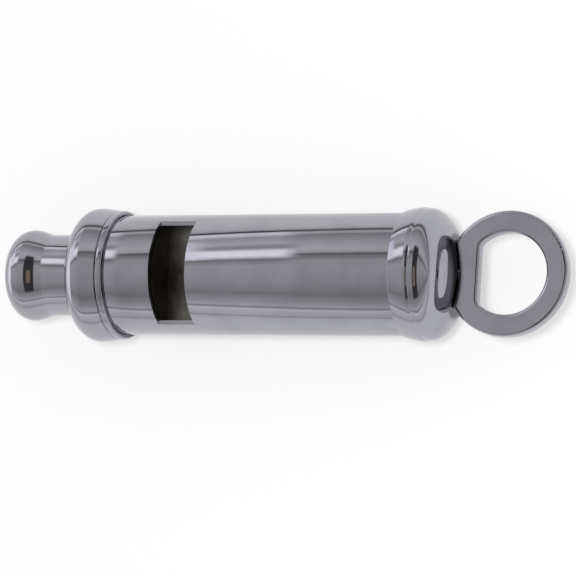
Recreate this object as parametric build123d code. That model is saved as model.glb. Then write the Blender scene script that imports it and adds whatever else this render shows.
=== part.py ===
"""Tubular two-tone whistle: turned mouthpiece, thin barrel with two sound windows, windway block,
chamber divider and stops, domed end cap and a flat lanyard eye that swivels in the cap."""

import os
from math import sqrt

from build123d import *

# Sizes in millimetres. Stations run along X from the lips, and every round piece is turned about X.

# Mouthpiece
bead_radius = 5.36
bead_length = 5.3
bead_round = 2.4
neck_radius = 4.75
neck_length = 3.55
neck_root_fillet = 0.25
mouth_slot_width = 7.0
mouth_slot_height = 2.6
collar_radius = 7.86
collar_length = 4.45
collar_taper = 0.33
shoulder_round = 2.2
shoulder_wall = 1.5
plenum_depth = 1.0
groove_width = 0.14
groove_depth = 0.1
lip_length = 1.34
lip_swell = 0.07
lip_edge = 0.12

# Barrel
barrel_radius = 7.0
barrel_wall = 0.45
barrel_length = 41.1
window_offset = 9.9
window_width = 4.4
window_depth = 3.35

# Windway block, divider and chamber stops
block_setback = 0.75
windway_gap = 0.4
divider_thickness = 1.0
divider_rise = 1.0
divider_tongue = 1.5
long_chamber = 28.0
short_chamber = 24.0
stop_thickness = 1.2
divider_tail = 0.3

# End cap
cap_grip = 2.3
cap_edge = 0.1
cap_radius = 7.615
cap_flare_length = 2.5
cap_rim_length = 0.55
cap_crease = 0.06
dome_radius = 7.5
dome_height = 3.45
cap_ledge = 0.6
cap_inner_reach = 0.75
cap_boss_thickness = 1.65
cap_boss_radius = 3.2

# Lanyard eye and its washer
eye_radius = 7.2
eye_reach = 5.63
eye_thickness = 1.6
eye_edge_round = 0.4
eye_hole_radius = 4.7
eye_hole_flat = 3.3
eye_hole_corner = 1.1
eye_tab_width = 7.0
eye_roll = -7.0
shank_radius = 0.75
head_radius = 1.4
head_height = 0.7
washer_radius = 2.4
washer_thickness = 0.4

# Clearances
seat_gap = 0.02
shank_clearance = 0.04
washer_float = 0.06
tab_clearance = 0.15

# Stations along X that follow from the sizes
neck_start = bead_length
shoulder_face = neck_start + neck_length
barrel_start = shoulder_face + shoulder_wall
barrel_end = barrel_start + barrel_length
groove_start = shoulder_face + collar_length
lip_start = groove_start + groove_width
lip_end = lip_start + lip_length
window_start = barrel_start + window_offset
block_start = barrel_start + block_setback
cap_start = barrel_end - cap_grip
cap_rim_start = cap_start + cap_flare_length
dome_start = cap_rim_start + cap_rim_length
dome_tip = dome_start + dome_height
boss_face = dome_tip - cap_boss_thickness
eye_centre = dome_tip + eye_reach
long_stop = window_start + long_chamber
short_stop = window_start + short_chamber
divider_end = long_stop + stop_thickness + divider_tail

bore_radius = barrel_radius - barrel_wall
insert_radius = bore_radius - seat_gap
window_floor = barrel_radius - window_depth
divider_top = divider_rise + divider_thickness / 2
divider_bottom = divider_rise - divider_thickness / 2
whistle_length = eye_centre + eye_radius


def turned(*curves):
    """A solid of revolution about X from a closed outline of (station, radius) curves."""
    outline = [edge for curve in curves for edge in curve.edges()]
    return revolve(Plane.XZ * make_face(outline), Axis.X)


def drum(start, end, radius):
    """A plain cylinder about X between two stations."""
    return Pos((start + end) / 2, 0, 0) * Rot(0, 90, 0) * Cylinder(radius, end - start)


def bar(start, end, width, low, high):
    """A rectangular bar along X, width across Y, from height low to height high."""
    centre = Pos((start + end) / 2, 0, (low + high) / 2)
    return centre * Box(end - start, width, high - low)


def make_mouthpiece():
    collar_end_radius = collar_radius - collar_taper
    lip_root = collar_end_radius - 0.04
    lip_tip = barrel_radius + lip_edge
    lip_middle = (lip_root + lip_tip) / 2 + lip_swell
    socket = barrel_radius + seat_gap
    bead_inner = bead_radius - bead_round
    shoulder_inner = collar_radius - shoulder_round
    shoulder_top = shoulder_face + shoulder_round
    corner = bead_round * (1 - sqrt(0.5))
    shoulder_corner = shoulder_round * (1 - sqrt(0.5))
    taper_middle = (shoulder_top + groove_start) / 2

    bead_to_neck = Spline(
        (bead_round, bead_radius), (neck_start, neck_radius), tangents=[(1, 0), (1, 0)]
    )
    outline = [
        Line((0, 0), (0, bead_inner)),
        ThreePointArc((0, bead_inner), (corner, bead_radius - corner), (bead_round, bead_radius)),
        bead_to_neck,
        Line((neck_start, neck_radius), (shoulder_face, neck_radius)),
        Line((shoulder_face, neck_radius), (shoulder_face, shoulder_inner)),
        ThreePointArc(
            (shoulder_face, shoulder_inner),
            (shoulder_face + shoulder_corner, collar_radius - shoulder_corner),
            (shoulder_top, collar_radius),
        ),
        ThreePointArc(
            (shoulder_top, collar_radius),
            (taper_middle, collar_radius - 0.4 * collar_taper),
            (groove_start, collar_end_radius),
        ),
        Polyline(
            (groove_start, collar_end_radius),
            (groove_start, collar_end_radius - groove_depth),
            (lip_start, collar_end_radius - groove_depth),
            (lip_start, lip_root),
        ),
        ThreePointArc(
            (lip_start, lip_root), (lip_start + lip_length / 2, lip_middle), (lip_end, lip_tip)
        ),
        Polyline(
            (lip_end, lip_tip),
            (lip_end, socket),
            (barrel_start, socket),
            (barrel_start, bore_radius),
            (barrel_start - plenum_depth, mouth_slot_width / 2),
            (barrel_start - plenum_depth, 0),
            (0, 0),
        ),
    ]
    body = turned(*outline)
    root = body.edges().filter_by(GeomType.CIRCLE).filter_by(
        lambda e: abs(e.radius - neck_radius) < 1e-6 and e.center().X > shoulder_face - 0.1
    )
    body = fillet(root, neck_root_fillet)
    slot = Plane.YZ * SlotOverall(mouth_slot_width, mouth_slot_height)
    return body - extrude(slot, barrel_start)


def make_barrel():
    tube = drum(barrel_start, barrel_end, barrel_radius) - drum(barrel_start, barrel_end, bore_radius)
    window_end = window_start + window_width
    reach = barrel_radius + 1
    front = bar(window_start, window_end, 2 * reach, window_floor, reach)
    rear = bar(window_start, window_end, 2 * reach, -reach, -window_floor)
    return tube - front - rear


def make_windway_block():
    plug = drum(block_start, window_start, insert_radius)
    windway_ring = drum(block_start, window_start, barrel_radius) - drum(
        block_start, window_start, bore_radius - windway_gap
    )
    for low, high in ((window_floor, barrel_radius), (-barrel_radius, -window_floor)):
        plug -= windway_ring & bar(block_start, window_start, 2 * barrel_radius, low, high)
    saw_slot = bar(
        window_start - divider_tongue - seat_gap,
        window_start,
        2 * barrel_radius,
        divider_bottom - seat_gap,
        divider_top + seat_gap,
    )
    return plug - saw_slot


def make_divider():
    start = window_start - divider_tongue
    plate = bar(start, divider_end, 2 * barrel_radius, divider_bottom, divider_top)
    return plate & drum(start, divider_end, insert_radius)


def make_stop(station, low, high):
    disc = drum(station, station + stop_thickness, insert_radius)
    return disc & bar(station, station + stop_thickness, 2 * barrel_radius, low, high)


def dome_outline(clearance=0.0):
    """Quarter ellipse from the rim to the tip of the dome, grown by a clearance."""
    return EllipticalCenterArc(
        (dome_start, 0), dome_height + clearance, dome_radius + clearance, start_angle=0, arc_size=90
    )


def make_end_cap():
    edge_radius = barrel_radius + cap_edge
    flare_middle = cap_start + 0.42 * cap_flare_length
    flare_middle_radius = edge_radius + 0.72 * (cap_radius - edge_radius)
    rim_root = dome_radius - cap_crease
    socket = barrel_radius + seat_gap
    hole = shank_radius + shank_clearance
    outline = [
        Line((cap_start, socket), (cap_start, edge_radius)),
        ThreePointArc(
            (cap_start, edge_radius),
            (flare_middle, flare_middle_radius),
            (cap_rim_start, cap_radius),
        ),
        ThreePointArc(
            (cap_rim_start, cap_radius),
            (dome_start - 0.3 * cap_rim_length, cap_radius - 0.3 * (cap_radius - rim_root)),
            (dome_start, rim_root),
        ),
        Line((dome_start, rim_root), (dome_start, dome_radius)),
        dome_outline(),
        Polyline(
            (dome_tip, 0),
            (boss_face, 0),
            (boss_face, cap_boss_radius),
            (barrel_end + cap_inner_reach, bore_radius - cap_ledge / 4),
            (barrel_end + seat_gap, bore_radius - cap_ledge / 4),
            (barrel_end + seat_gap, socket),
            (cap_start, socket),
        ),
    ]
    return turned(*outline) - drum(boss_face - 1, dome_tip + 1, hole)


def make_lanyard_eye():
    tab_start = dome_start
    ring = Pos(eye_centre, 0) * Circle(eye_radius)
    tab = Pos((tab_start + eye_centre) / 2, 0) * Rectangle(eye_centre - tab_start, eye_tab_width)
    hole = Pos(eye_centre, 0) * Circle(eye_hole_radius)
    hole &= Pos(eye_centre - eye_hole_flat + eye_radius, 0) * Rectangle(2 * eye_radius, 2 * eye_radius)
    hole = fillet(hole.vertices(), eye_hole_corner)
    plate = extrude(ring + tab - hole, eye_thickness / 2, both=True)
    faces = plate.faces().sort_by(Axis.Z)
    plate = fillet(faces[0].edges() + faces[-1].edges(), eye_edge_round)

    grown = dome_outline(tab_clearance)
    dome = turned(
        grown,
        Line((dome_tip + tab_clearance, 0), (dome_start, 0)),
        Line((dome_start, 0), (dome_start, dome_radius + tab_clearance)),
    )
    head_end = boss_face - washer_float - washer_thickness
    shank_end = dome_tip + 2 * shank_radius
    rivet = turned(
        ThreePointArc(
            (head_end - head_height, 0),
            (head_end - 0.75 * head_height, 0.7 * head_radius),
            (head_end, head_radius),
        ),
        Polyline(
            (head_end, head_radius),
            (head_end, shank_radius),
            (shank_end, shank_radius),
            (shank_end, 0),
            (head_end - head_height, 0),
        ),
    )
    return plate - dome + rivet


def make_washer():
    start = boss_face - washer_float - washer_thickness
    end = boss_face - washer_float
    return drum(start, end, washer_radius) - drum(start, end, shank_radius)


nodes = {
    "mouthpiece": make_mouthpiece(),
    "barrel": make_barrel(),
    "windway_block": make_windway_block(),
    "chamber_divider": make_divider(),
    "long_chamber_stop": make_stop(long_stop, divider_top + seat_gap, barrel_radius),
    "short_chamber_stop": make_stop(short_stop, -barrel_radius, divider_bottom - seat_gap),
    "end_cap": make_end_cap(),
    "lanyard_eye": Rot(eye_roll, 0, 0) * make_lanyard_eye(),
    "eye_washer": make_washer(),
}

# The origin is under the middle of the whistle, on the surface that its two collars lie on.
to_rest = Pos(-whistle_length / 2, 0, max(collar_radius, cap_radius))
os.makedirs("parts", exist_ok=True)
for name, shape in nodes.items():
    export_step(to_rest * shape, f"parts/{name}.step")
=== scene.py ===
from math import cos, pi, radians, sin

import bpy
from mathutils import Matrix, Vector


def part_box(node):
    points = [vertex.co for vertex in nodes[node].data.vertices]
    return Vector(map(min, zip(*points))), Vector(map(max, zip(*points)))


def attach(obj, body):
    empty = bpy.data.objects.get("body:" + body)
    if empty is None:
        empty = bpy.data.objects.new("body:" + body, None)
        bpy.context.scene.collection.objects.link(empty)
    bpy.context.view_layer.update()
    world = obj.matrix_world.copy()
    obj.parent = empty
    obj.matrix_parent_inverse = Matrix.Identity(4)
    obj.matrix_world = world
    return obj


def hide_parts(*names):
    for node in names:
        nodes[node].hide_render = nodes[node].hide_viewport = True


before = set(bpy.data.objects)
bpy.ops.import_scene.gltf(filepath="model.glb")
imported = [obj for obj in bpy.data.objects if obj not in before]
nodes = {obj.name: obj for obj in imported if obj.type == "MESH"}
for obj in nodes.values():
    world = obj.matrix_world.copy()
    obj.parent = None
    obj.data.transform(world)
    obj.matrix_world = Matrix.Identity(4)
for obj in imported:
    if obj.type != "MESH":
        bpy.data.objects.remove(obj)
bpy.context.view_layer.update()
scene = bpy.context.scene
scene.view_settings.view_transform = "Standard"
print("loaded the solids", sorted(nodes))

# the whistle lies along X; stations below run in millimetres from the lips, radii from the axis
mm = 0.001
axisHeight = (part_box("mouthpiece")[0].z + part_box("mouthpiece")[1].z) / 2
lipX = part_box("mouthpiece")[0].x


# camera over the table, tipped towards the lanyard eye
cameraLook = {"tilt": 22.0, "windowTurn": 3.7, "roll": 0.08, "distance": 402.8, "aim": 34.65, "rise": -1.527,
              "lens": 218.75}


def placeCamera():
    tilt, turn, roll = (radians(cameraLook[k]) for k in ("tilt", "windowTurn", "roll"))
    along = Vector((1, 0, 0))
    up = Vector((0, cos(turn), sin(turn)))
    out = Vector((0, -sin(turn), cos(turn)))
    back = sin(tilt) * along + cos(tilt) * out
    side = cos(tilt) * along - sin(tilt) * out
    right = cos(roll) * side - sin(roll) * up
    top = sin(roll) * side + cos(roll) * up
    aim = Vector((lipX + cameraLook["aim"] * mm, 0, axisHeight))
    spot = aim + back * cameraLook["distance"] * mm + top * cameraLook["rise"] * mm
    data = bpy.data.cameras.new("tableCamera")
    data.lens = cameraLook["lens"]
    data.sensor_width = 36
    data.clip_start = 0.01
    data.clip_end = 20
    cam = bpy.data.objects.new("tableCamera", data)
    cam.matrix_world = Matrix((
        (right.x, top.x, back.x, spot.x),
        (right.y, top.y, back.y, spot.y),
        (right.z, top.z, back.z, spot.z),
        (0, 0, 0, 1)))
    scene.collection.objects.link(cam)
    scene.camera = cam


# the studio as grey bands by angle about the whistle's axis: 0 is straight up, 90 is towards +Y
studioLook = {
    "mouthBands": [(-180, .72), (-128, .65), (-110, .8), (-95, .8), (-88, .86), (-79, .96), (-73, 1.1),
                   (-70, .38), (-66, .84), (-57, .67), (-44, .5), (-40, .42), (-34, .51), (-20, .62),
                   (14, .72), (22, .52), (26, .32), (31, 1.3), (34, 1.75), (43, 1.75), (48, .75),
                   (51, .51), (60, .91), (74, .65), (81, 1.34), (85, 1.3), (87, .06), (92, .06),
                   (96, .5), (126, .6), (180, .72)],
    "eyeBands": [(-180, .7), (-127, .86), (-106, .9), (-95, .7), (-80, .89), (-74, 1.08), (-71, .36),
                 (-67, .8), (-58, .59), (-46, .43), (-42, .37), (-36, .43), (-22, .53), (4, .64),
                 (23, .64), (27, .47), (31, .42), (35, .2), (39, .77), (47, .87), (59, .73), (73, .5),
                 (78, .42), (81, .8), (84, .8), (86.5, .2), (92, .2), (99, .9), (139, .7), (180, .7)],
    "bandBlend": (-.34, -.43),
    "coneCard": (1.5, 1.47, 1.59), "coneReach": (-.62, -.72), "coneTurn": (.57, .585, .70, .685),
    "backCard": 1.6, "backReach": (-.86, -.91),
    "capShade": .07, "shadeReach": (.02, .08, .66, .5), "shadeTurn": (.36, .38, .64, .62),
    "warmPatch": (.42, .34, .24), "warmReach": (.14, .17, .42, .38), "warmTurn": (.43, .44, .53, .52),
    "room": .8, "keyPower": 1.1, "keySize": .05, "keyPlace": (.115, -.01, .42), "keyAimX": .01,
}


def mathNode(nt, operation, a, b=0.0):
    node = nt.nodes.new("ShaderNodeMath")
    node.operation = operation
    for socket, value in zip(node.inputs, (a, b)):
        if isinstance(value, (int, float)):
            socket.default_value = value
        else:
            nt.links.new(value, socket)
    return node.outputs[0]


def stepBetween(nt, value, low, high):
    node = nt.nodes.new("ShaderNodeMapRange")
    node.interpolation_type = "SMOOTHSTEP"
    node.inputs["From Min"].default_value = low
    node.inputs["From Max"].default_value = high
    nt.links.new(value, node.inputs["Value"])
    return node.outputs[0]


def blendColor(nt, factor, a, b):
    node = nt.nodes.new("ShaderNodeMix")
    node.data_type = "RGBA"
    for name, kind, value in (("Factor", "VALUE", factor), ("A", "RGBA", a), ("B", "RGBA", b)):
        socket = [s for s in node.inputs if s.name == name and s.type == kind][0]
        if isinstance(value, tuple):
            socket.default_value = (*value, 1)
        else:
            nt.links.new(value, socket)
    return [s for s in node.outputs if s.type == "RGBA"][0]


def insideSpan(nt, value, span):
    rise, full, end, fade = span
    return mathNode(nt, "MULTIPLY", stepBetween(nt, value, rise, full), stepBetween(nt, value, end, fade))


def bandRamp(nt, turn, bands):
    ramp = nt.nodes.new("ShaderNodeValToRGB")
    stops = ramp.color_ramp.elements
    while len(stops) > 1:
        stops.remove(stops[-1])
    for i, (angle, level) in enumerate(bands):
        stop = stops[0] if i == 0 else stops.new((angle + 180) / 360)
        stop.position = (angle + 180) / 360
        stop.color = (level, level * .995, level * 1.01, 1)
    nt.links.new(turn, ramp.inputs[0])
    return ramp.outputs["Color"]


def buildStudio():
    world = bpy.data.worlds.new("studio")
    scene.world = world
    world.use_nodes = True
    nt = world.node_tree
    nt.nodes.clear()
    coord = nt.nodes.new("ShaderNodeTexCoord")
    split = nt.nodes.new("ShaderNodeSeparateXYZ")
    nt.links.new(coord.outputs["Generated"], split.inputs[0])
    x, y, z = split.outputs
    turn = mathNode(nt, "ADD", mathNode(nt, "DIVIDE", mathNode(nt, "ARCTAN2", y, z), 2 * pi), .5)
    towardMouth = stepBetween(nt, x, *studioLook["bandBlend"])
    bands = blendColor(nt, towardMouth, bandRamp(nt, turn, studioLook["eyeBands"]),
                       bandRamp(nt, turn, studioLook["mouthBands"]))
    # a bright card behind the mouth end and a lilac one above the cone of the cap
    cone = mathNode(nt, "MULTIPLY", stepBetween(nt, x, *studioLook["coneReach"]),
                    insideSpan(nt, turn, studioLook["coneTurn"]))
    bands = blendColor(nt, cone, bands, studioLook["coneCard"])
    back = stepBetween(nt, x, *studioLook["backReach"])
    bands = blendColor(nt, back, bands, (studioLook["backCard"],) * 3)
    # the dark room beyond the lanyard eye, with a warm patch in it
    for reach, turns, color in (("shadeReach", "shadeTurn", (studioLook["capShade"],) * 3),
                                ("warmReach", "warmTurn", studioLook["warmPatch"])):
        patch = mathNode(nt, "MULTIPLY", insideSpan(nt, x, studioLook[reach]),
                         insideSpan(nt, turn, studioLook[turns]))
        bands = blendColor(nt, patch, bands, color)
    mirrored = nt.nodes.new("ShaderNodeBackground")
    nt.links.new(bands, mirrored.inputs["Color"])
    plain = nt.nodes.new("ShaderNodeBackground")
    plain.inputs["Strength"].default_value = studioLook["room"]
    white = nt.nodes.new("ShaderNodeBackground")
    path = nt.nodes.new("ShaderNodeLightPath")
    toMirror, toCamera = nt.nodes.new("ShaderNodeMixShader"), nt.nodes.new("ShaderNodeMixShader")
    out = nt.nodes.new("ShaderNodeOutputWorld")
    for a, b in ((path.outputs["Is Glossy Ray"], toMirror.inputs[0]),
                 (plain.outputs[0], toMirror.inputs[1]),
                 (mirrored.outputs[0], toMirror.inputs[2]),
                 (path.outputs["Is Camera Ray"], toCamera.inputs[0]),
                 (toMirror.outputs[0], toCamera.inputs[1]),
                 (white.outputs[0], toCamera.inputs[2]),
                 (toCamera.outputs[0], out.inputs["Surface"])):
        nt.links.new(a, b)
    # the key lamp stands a little left of the camera and isn't mirrored in the plate
    lamp = bpy.data.lights.new("keyLamp", "AREA")
    lamp.size = studioLook["keySize"]
    lamp.energy = studioLook["keyPower"]
    key = bpy.data.objects.new("keyLamp", lamp)
    key.location = Vector(studioLook["keyPlace"])
    ray = Vector((studioLook["keyAimX"], 0, axisHeight)) - key.location
    key.rotation_euler = ray.to_track_quat("-Z", "Y").to_euler()
    key.visible_glossy = False
    scene.collection.objects.link(key)


tableLook = {"size": 6, "color": (.86, .86, .865), "roughness": .9, "glow": .5}


def buildTable():
    bpy.ops.object.select_all(action="DESELECT")
    bpy.ops.mesh.primitive_plane_add(size=tableLook["size"], location=(0, 0, 0))
    table = bpy.context.active_object
    table.name = "tableTop"
    mat = bpy.data.materials.new("paleTable")
    mat.use_nodes = True
    nt = mat.node_tree
    bsdf = nt.nodes["Principled BSDF"]
    bsdf.inputs["Base Color"].default_value = (*tableLook["color"], 1)
    bsdf.inputs["Roughness"].default_value = tableLook["roughness"]
    glow = nt.nodes.new("ShaderNodeEmission")
    mix = nt.nodes.new("ShaderNodeMixShader")
    path = nt.nodes.new("ShaderNodeLightPath")
    share = mathNode(nt, "MULTIPLY", path.outputs["Is Camera Ray"], tableLook["glow"])
    nt.links.new(share, mix.inputs[0])
    nt.links.new(bsdf.outputs[0], mix.inputs[1])
    nt.links.new(glow.outputs[0], mix.inputs[2])
    nt.links.new(mix.outputs[0], nt.nodes["Material Output"].inputs["Surface"])
    table.data.materials.append(mat)


placeCamera()
buildStudio()
buildTable()
print("camera, studio and table ready")


# finishes, and painted shade on the pieces inside the tube
plateLook = {"color": (.37, .37, .405), "dim": (.33, .33, .365), "rough": (.035, .075), "wave": .05}
grainLook = {"cloud": 240, "smear": 900, "ripple": 420, "rippleDepth": .00012}
# the pieces inside the tube: a rough, brownish plate whose dark colour is painted shade of the tube's inside
dullLookWithPaintedShade = {"color": (.2, .19, .17), "dim": (.1, .095, .085), "rough": (.24, .42), "wave": .12}


def platedFinish(name, look):
    mat = bpy.data.materials.new(name)
    mat.use_nodes = True
    nt = mat.node_tree
    bsdf = nt.nodes["Principled BSDF"]
    bsdf.inputs["Metallic"].default_value = 1.0
    coord = nt.nodes.new("ShaderNodeTexCoord")
    tone = nt.nodes.new("ShaderNodeTexNoise")      # cloudy tone of the plate
    tone.inputs["Scale"].default_value = grainLook["cloud"]
    tone.inputs["Detail"].default_value = 5
    smear = nt.nodes.new("ShaderNodeTexNoise")     # handling smears, finer
    smear.inputs["Scale"].default_value = grainLook["smear"]
    smear.inputs["Detail"].default_value = 4
    ripple = nt.nodes.new("ShaderNodeTexNoise")    # the slight waviness of buffed brass under the plate
    ripple.inputs["Scale"].default_value = grainLook["ripple"]
    ripple.inputs["Detail"].default_value = 1
    for node in (tone, smear, ripple):
        nt.links.new(coord.outputs["Object"], node.inputs["Vector"])
    nt.links.new(blendColor(nt, stepBetween(nt, tone.outputs["Fac"], .35, .7), look["color"], look["dim"]),
                 bsdf.inputs["Base Color"])
    rough = nt.nodes.new("ShaderNodeMapRange")
    rough.inputs["From Min"].default_value = .3
    rough.inputs["From Max"].default_value = .7
    rough.inputs["To Min"].default_value, rough.inputs["To Max"].default_value = look["rough"]
    nt.links.new(smear.outputs["Fac"], rough.inputs["Value"])
    nt.links.new(rough.outputs[0], bsdf.inputs["Roughness"])
    bump = nt.nodes.new("ShaderNodeBump")
    bump.inputs["Strength"].default_value = look["wave"]
    bump.inputs["Distance"].default_value = grainLook["rippleDepth"]
    nt.links.new(ripple.outputs["Fac"], bump.inputs["Height"])
    nt.links.new(bump.outputs[0], bsdf.inputs["Normal"])
    return mat


darkPlate = platedFinish("darkPlate", plateLook)
dullPlateWithPaintedShade = platedFinish("dullPlateWithPaintedShade", dullLookWithPaintedShade)
shinyNodes = ("mouthpiece", "barrel", "end_cap", "lanyard_eye")
# the four outer pieces get the shiny plate; the inner pieces get the dark plate, whose darkness is painted
# shade
for name, node in nodes.items():
    for s in node.material_slots:
        s.material = darkPlate if name in shinyNodes else dullPlateWithPaintedShade
print("finishes on")


# turned pieces: an outline drawn point by point, then spun about the whistle's axis
def arcPoints(station, radius, size, start, end, count=8):
    turns = [radians(start + (end - start) * i / count) for i in range(count + 1)]
    return [(station + size * cos(t), radius + size * sin(t)) for t in turns]


def spinPiece(name, outline, steps=192):
    bpy.ops.object.select_all(action="DESELECT")
    bpy.ops.mesh.primitive_plane_add(size=mm, location=(0, 0, 0))
    piece = bpy.context.active_object
    piece.name = name
    bpy.ops.object.mode_set(mode="EDIT")
    bpy.ops.mesh.select_all(action="SELECT")
    bpy.ops.mesh.merge(type="CENTER")
    spots = [Vector((lipX + u * mm, 0, axisHeight + r * mm)) for u, r in outline]
    bpy.ops.transform.translate(value=spots[0])
    for here, there in zip(spots, spots[1:] + spots[:1]):
        bpy.ops.mesh.extrude_region_move(TRANSFORM_OT_translate={"value": there - here})
    bpy.ops.mesh.select_all(action="SELECT")
    bpy.ops.mesh.remove_doubles(threshold=1e-7)
    bpy.ops.mesh.select_all(action="SELECT")
    bpy.ops.mesh.spin(steps=steps, angle=2 * pi, center=(0, 0, axisHeight), axis=(1, 0, 0))
    bpy.ops.mesh.select_all(action="SELECT")
    bpy.ops.mesh.remove_doubles(threshold=1e-7)
    bpy.ops.mesh.normals_make_consistent(inside=False)
    bpy.ops.object.mode_set(mode="OBJECT")
    return piece


def boxCutter(name, start, end, width, low, high, corner=0.0):
    bpy.ops.object.select_all(action="DESELECT")
    bpy.ops.mesh.primitive_cube_add(size=1, location=(lipX + (start + end) / 2 * mm, 0,
                                                     axisHeight + (low + high) / 2 * mm))
    cutter = bpy.context.active_object
    cutter.name = name
    cutter.scale = ((end - start) * mm, width * mm, (high - low) * mm)
    bpy.ops.object.transform_apply(location=True, rotation=True, scale=True)
    if corner:
        bpy.ops.object.mode_set(mode="EDIT")
        bpy.ops.mesh.select_all(action="DESELECT")
        bpy.ops.object.mode_set(mode="OBJECT")
        for edge in cutter.data.edges:
            a, b = (cutter.data.vertices[v].co for v in edge.vertices)
            edge.select = abs(a.x - b.x) > 1e-5
        bpy.ops.object.mode_set(mode="EDIT")
        bpy.ops.mesh.bevel(offset=corner * mm, segments=10, affect="EDGES")
        bpy.ops.object.mode_set(mode="OBJECT")
    return cutter


def cutAway(piece, cutter):
    bpy.ops.object.select_all(action="DESELECT")
    bpy.context.view_layer.objects.active = piece
    piece.select_set(True)
    cut = piece.modifiers.new("cut", "BOOLEAN")
    cut.operation = "DIFFERENCE"
    cut.solver = "EXACT"
    cut.object = cutter
    bpy.ops.object.modifier_apply(modifier="cut")
    bpy.data.objects.remove(cutter)


def softenEdges(piece, width, segments, angle=35):
    bpy.ops.object.select_all(action="DESELECT")
    bpy.context.view_layer.objects.active = piece
    piece.select_set(True)
    bevel = piece.modifiers.new("edge", "BEVEL")
    bevel.width = width * mm
    bevel.segments = segments
    bevel.limit_method = "ANGLE"
    bevel.angle_limit = radians(angle)
    bevel.use_clamp_overlap = False
    bevel.harden_normals = False
    bpy.ops.object.modifier_apply(modifier="edge")


sharpAngle = 32      # degrees, past which a turned edge shows as a crease


def dressPiece(piece, mat, body, slot, *solids):
    piece.data.materials.clear()
    piece.data.materials.append(mat)
    bpy.ops.object.select_all(action="DESELECT")
    bpy.context.view_layer.objects.active = piece
    piece.select_set(True)
    bpy.ops.object.shade_smooth_by_angle(angle=radians(sharpAngle))
    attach(piece, body)
    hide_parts(*solids)
    print(piece.name, "has", len(piece.data.polygons), "faces")


mouthLook = {"beadStart": .12, "bead": 5.36, "beadRound": 2.3, "beadEnd": 5.3, "neck": 4.75, "rootRound": .25,
             "shoulder": 9.05, "collar": 7.85, "shoulderRound": 2.2, "collarEnd": 7.53, "taperPower": 1.6,
             "groove": 13.42, "grooveShape": ((.02, -.03), (.04, -.1), (.12, -.1), (.15, -.04)),
             "lipStart": .3, "lipRoot": .15, "lipSwell": .02, "lipEnd": 14.3, "lipDrop": .03, "lipRound": .16,
             "socket": 7.02, "tubeStart": 10.35, "bore": 6.55, "plenumDepth": 1, "plenum": 3.5,
             "slotWidth": 7.0, "slotHeight": 2.6, "slotRound": 1.29, "slotBack": .5, "edge": .06}


def makeMouthpiece():
    m = mouthLook
    beadInner, beadTop = m["bead"] - m["beadRound"], m["beadStart"] + m["beadRound"]
    outline = [(m["beadStart"], 0), (m["beadStart"], beadInner)]
    outline += arcPoints(beadTop, beadInner, m["beadRound"], 180, 90, 16)[1:]
    run, swell = m["beadEnd"] - beadTop, m["bead"] - m["neck"]
    for i in range(1, 13):
        t = i / 12
        outline.append((m["beadEnd"] - run * (1 - t), m["neck"] + swell * (1 + cos(pi * t)) / 2))
    root = m["rootRound"]
    outline += arcPoints(m["shoulder"] - root, m["neck"] + root, root, -90, 0, 5)
    shoulderInner, shoulderTop = m["collar"] - m["shoulderRound"], m["shoulder"] + m["shoulderRound"]
    outline.append((m["shoulder"], shoulderInner))
    outline += arcPoints(shoulderTop, shoulderInner, m["shoulderRound"], 180, 90, 16)[1:]
    run, fall = m["groove"] - shoulderTop, m["collar"] - m["collarEnd"]
    for i in range(1, 9):
        t = i / 8
        outline.append((shoulderTop + run * t, m["collar"] - fall * t ** m["taperPower"]))
    outline += [(m["groove"] + u, m["collarEnd"] + r) for u, r in m["grooveShape"]]
    root = m["lipRoot"]
    outline += arcPoints(m["groove"] + m["lipStart"], m["collarEnd"] + m["lipSwell"] - root, root, 170, 90, 4)
    tip = m["lipRound"]
    outline += arcPoints(m["lipEnd"] - tip, m["collarEnd"] - m["lipDrop"] - tip, tip, 80, 0, 6)
    plenumStart = m["tubeStart"] - m["plenumDepth"]
    outline += [(m["lipEnd"], m["socket"]), (m["tubeStart"], m["socket"]), (m["tubeStart"], m["bore"]),
                (plenumStart, m["plenum"]), (plenumStart, 0)]
    piece = spinPiece("mouthPiece", outline)
    high = m["slotHeight"] / 2
    cutAway(piece, boxCutter("mouthSlot", -1, m["tubeStart"] - m["slotBack"], m["slotWidth"], -high, high,
                             m["slotRound"]))
    softenEdges(piece, m["edge"], 2, 50)
    return piece


barrelLook = {"start": 10.37, "end": 51.43, "radius": 7.0, "bore": 6.57, "window": (20.12, 24.65),
              "floor": 3.65, "cutWidth": 18, "cutReach": 8.0, "edge": .045}


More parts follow.
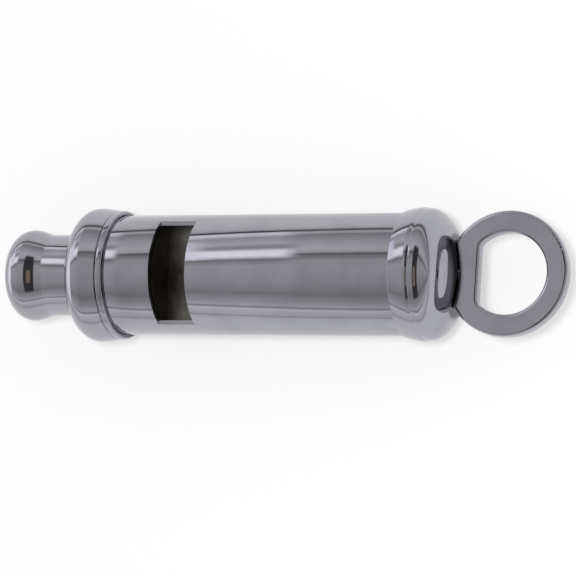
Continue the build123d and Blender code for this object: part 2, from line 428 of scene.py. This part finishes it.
def makeBarrel():
    b = barrelLook
    outline = [(b["start"], b["bore"]), (b["start"], b["radius"]),
               (b["end"], b["radius"]), (b["end"], b["bore"])]
    piece = spinPiece("barrelTube", outline, 256)
    for name, low, high in (("frontWindow", b["floor"], b["cutReach"]),
                            ("rearWindow", -b["cutReach"], -b["floor"])):
        cutAway(piece, boxCutter(name, *b["window"], b["cutWidth"], low, high))
    softenEdges(piece, b["edge"], 2, 40)
    return piece


capLook = {"start": 49.42, "edge": 7.3, "edgeRound": .13, "rim": 51.65, "rimRound": .12, "radius": 7.61,
           "flarePower": 1.9, "crease": ((.02, -.012), (.1, -.05), (.2, -.085), (.28, -.09), (.36, -.075)),
           "dome": 52.2, "domeRadius": 7.5, "domeHeight": 3.44, "domeFrom": 3, "hole": .79,
           "boss": 54.02, "bossRadius": 3.2, "inner": 6.42, "innerReach": .75, "socket": 7.02,
           "tubeEnd": 51.47}


def makeEndCap():
    c = capLook
    flareStart = c["start"] + c["edgeRound"]
    outline = [(c["start"], c["socket"])]
    outline += arcPoints(flareStart, c["edge"] - c["edgeRound"], c["edgeRound"], 180, 100, 5)
    run, rise = c["rim"] - flareStart - c["rimRound"], c["radius"] - c["edge"]
    for i in range(1, 11):
        t = i / 10
        outline.append((flareStart + run * t, c["edge"] + rise * (1 - (1 - t) ** c["flarePower"])))
    outline += [(c["rim"] + u, c["radius"] + r) for u, r in c["crease"]]
    for i in range(31):
        t = radians(c["domeFrom"] + (90 - c["domeFrom"]) * i / 30)
        if c["domeRadius"] * cos(t) > c["hole"]:
            outline.append((c["dome"] + c["domeHeight"] * sin(t), c["domeRadius"] * cos(t)))
    outline += [(c["dome"] + c["domeHeight"], c["hole"]), (c["boss"], c["hole"]),
                (c["boss"], c["bossRadius"]), (c["tubeEnd"] + c["innerReach"], c["inner"]),
                (c["tubeEnd"], c["inner"]), (c["tubeEnd"], c["socket"])]
    return spinPiece("endCap", outline)


dressPiece(makeMouthpiece(), darkPlate, "whistle", "plated_brass", "mouthpiece")
dressPiece(makeBarrel(), darkPlate, "whistle", "plated_brass", "barrel")
dressPiece(makeEndCap(), darkPlate, "whistle", "plated_brass", "end_cap")

print("whistle done")
